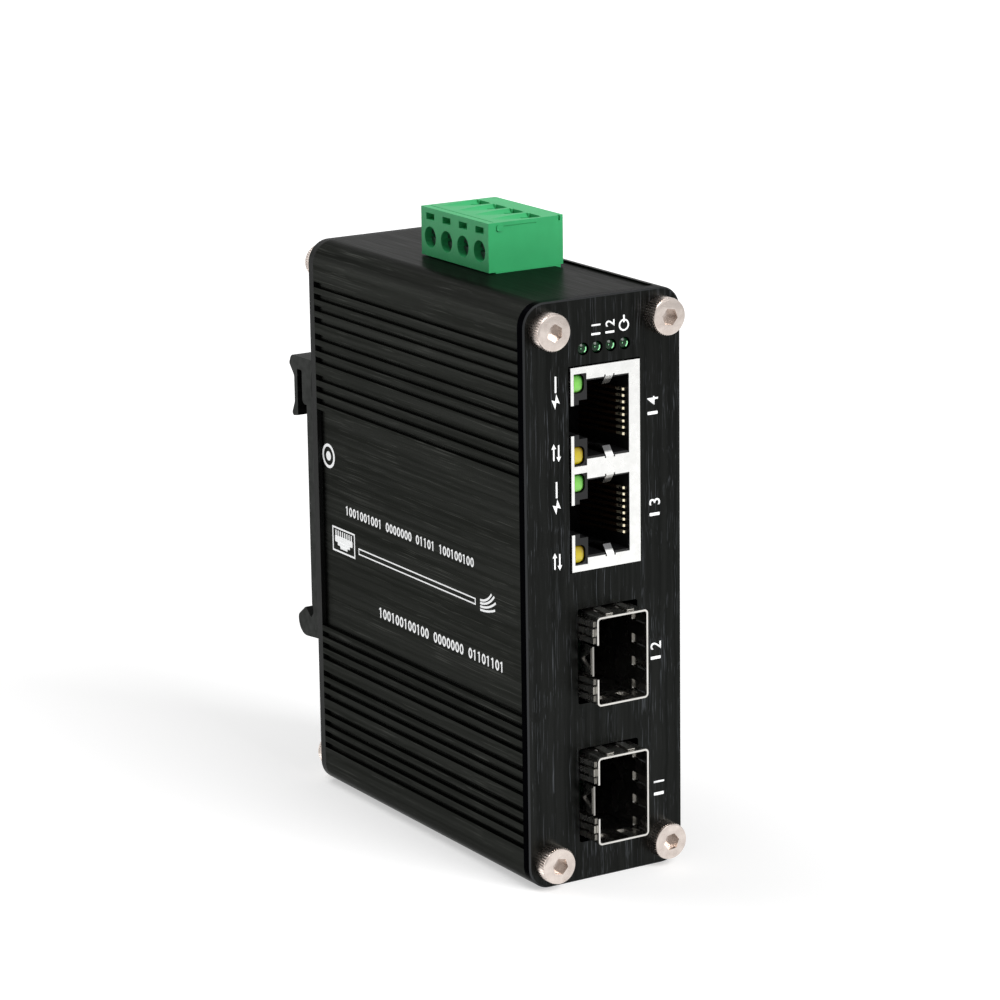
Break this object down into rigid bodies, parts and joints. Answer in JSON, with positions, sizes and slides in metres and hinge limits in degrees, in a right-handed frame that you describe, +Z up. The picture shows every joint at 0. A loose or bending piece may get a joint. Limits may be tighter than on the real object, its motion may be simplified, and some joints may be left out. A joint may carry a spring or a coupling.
{
  "type": "fibre media converter",
  "caption": "Slim upright rail-mounted fibre media converter: black ribbed case, twin network jack, fibre module cages, pull-off screw terminal and rail clip.",
  "frame": {"origin": "centre of the case's flat base, midway between the outer faces of the front and rear panels", "axes": "+Z up along the case's height; the front panel faces -Y; the rail clip is at +Y; the screws of the terminal face -X"},
  "size_m": [0.029, 0.0801, 0.1026],
  "materials": {
    "black_profile": "black anodised, brushed along the profile",
    "black_panel": "black anodised, brushed upright",
    "screw_steel": "bright plated steel",
    "black_clip": "black anodised, extruded",
    "board_green": "solder mask",
    "bright_tin": "bright nickel plate",
    "cage_tin": "matt nickel plate",
    "spring_tin": "bright spring steel",
    "jack_plastic": "moulded",
    "black_plastic": "moulded",
    "contact_gold": "gold flash",
    "contact_tin": "tinned",
    "clamp_steel": "zinc plated",
    "lens_green": "clear moulded lens",
    "lens_yellow": "clear moulded lens",
    "lens_dark_green": "clear moulded lens",
    "terminal_green": "moulded polyamide",
    "can_aluminium": "satin",
    "ferrite": "fired ferrite",
    "winding_tape": "polyester tape"
  },
  "bodies": {
    "case": {"cage_collar_lower": "spring_tin", "cage_collar_upper": "spring_tin", "cage_lower": "cage_tin", "cage_upper": "cage_tin", "capacitors": "can_aluminium", "clip_screws": "screw_steel", "cover_profile": "black_profile", "fibre_socket_lower": "black_plastic", "fibre_socket_upper": "black_plastic", "front_panel": "black_panel", "front_screws": "screw_steel", "header_pins": "contact_tin", "jack_contacts": "contact_gold", "jack_insert": "jack_plastic", "jack_lamps_green": "lens_green", "jack_lamps_yellow": "lens_yellow", "jack_shield": "bright_tin", "lamp_block": "black_plastic", "main_board": "board_green", "main_profile": "black_profile", "phy_chips": "black_plastic", "power_inductor": "ferrite", "rail_clip": "black_clip", "rear_panel": "black_panel", "rear_screws": "screw_steel", "status_lamps": "lens_dark_green", "switch_chip": "black_plastic", "terminal_header": "terminal_green", "transformer_core": "ferrite", "transformer_winding": "winding_tape"},
    "plug": {"plug_housing": "terminal_green", "plug_contacts": "contact_tin"},
    "clamp_screw_1": {"clamp_screw_1": "clamp_steel"},
    "clamp_cage_1": {"clamp_cage_1": "clamp_steel"},
    "clamp_screw_2": {"clamp_screw_2": "clamp_steel"},
    "clamp_cage_2": {"clamp_cage_2": "clamp_steel"},
    "clamp_screw_3": {"clamp_screw_3": "clamp_steel"},
    "clamp_cage_3": {"clamp_cage_3": "clamp_steel"},
    "clamp_screw_4": {"clamp_screw_4": "clamp_steel"},
    "clamp_cage_4": {"clamp_cage_4": "clamp_steel"}
  },
  "joints": [
    {"name": "plug_pull", "type": "slide", "parent": "case", "child": "plug", "axis": [0, 0, 1], "range_m": [0, 0.0095]},
    {"name": "screw_turn_1", "type": "hinge", "parent": "plug", "child": "clamp_screw_1", "pos_m": [0, -0.00657, 0.0978], "axis": [1, 0, 0], "range_deg": [0, 2161]},
    {"name": "clamp_draw_1", "type": "slide", "parent": "plug", "child": "clamp_cage_1", "axis": [-1, 0, 0], "range_m": [0, 0.003]},
    {"name": "screw_turn_2", "type": "hinge", "parent": "plug", "child": "clamp_screw_2", "pos_m": [0, -0.00149, 0.0978], "axis": [1, 0, 0], "range_deg": [0, 2161]},
    {"name": "clamp_draw_2", "type": "slide", "parent": "plug", "child": "clamp_cage_2", "axis": [-1, 0, 0], "range_m": [0, 0.003]},
    {"name": "screw_turn_3", "type": "hinge", "parent": "plug", "child": "clamp_screw_3", "pos_m": [0, 0.00359, 0.0978], "axis": [1, 0, 0], "range_deg": [0, 2161]},
    {"name": "clamp_draw_3", "type": "slide", "parent": "plug", "child": "clamp_cage_3", "axis": [-1, 0, 0], "range_m": [0, 0.003]},
    {"name": "screw_turn_4", "type": "hinge", "parent": "plug", "child": "clamp_screw_4", "pos_m": [0, 0.00867, 0.0978], "axis": [1, 0, 0], "range_deg": [0, 2161]},
    {"name": "clamp_draw_4", "type": "slide", "parent": "plug", "child": "clamp_cage_4", "axis": [-1, 0, 0], "range_m": [0, 0.003]}
  ],
  "couplings": [
    {"joint": "screw_turn_1", "follows": "clamp_draw_1", "rad_per_m": 12566},
    {"joint": "screw_turn_2", "follows": "clamp_draw_2", "rad_per_m": 12566},
    {"joint": "screw_turn_3", "follows": "clamp_draw_3", "rad_per_m": 12566},
    {"joint": "screw_turn_4", "follows": "clamp_draw_4", "rad_per_m": 12566}
  ]
}
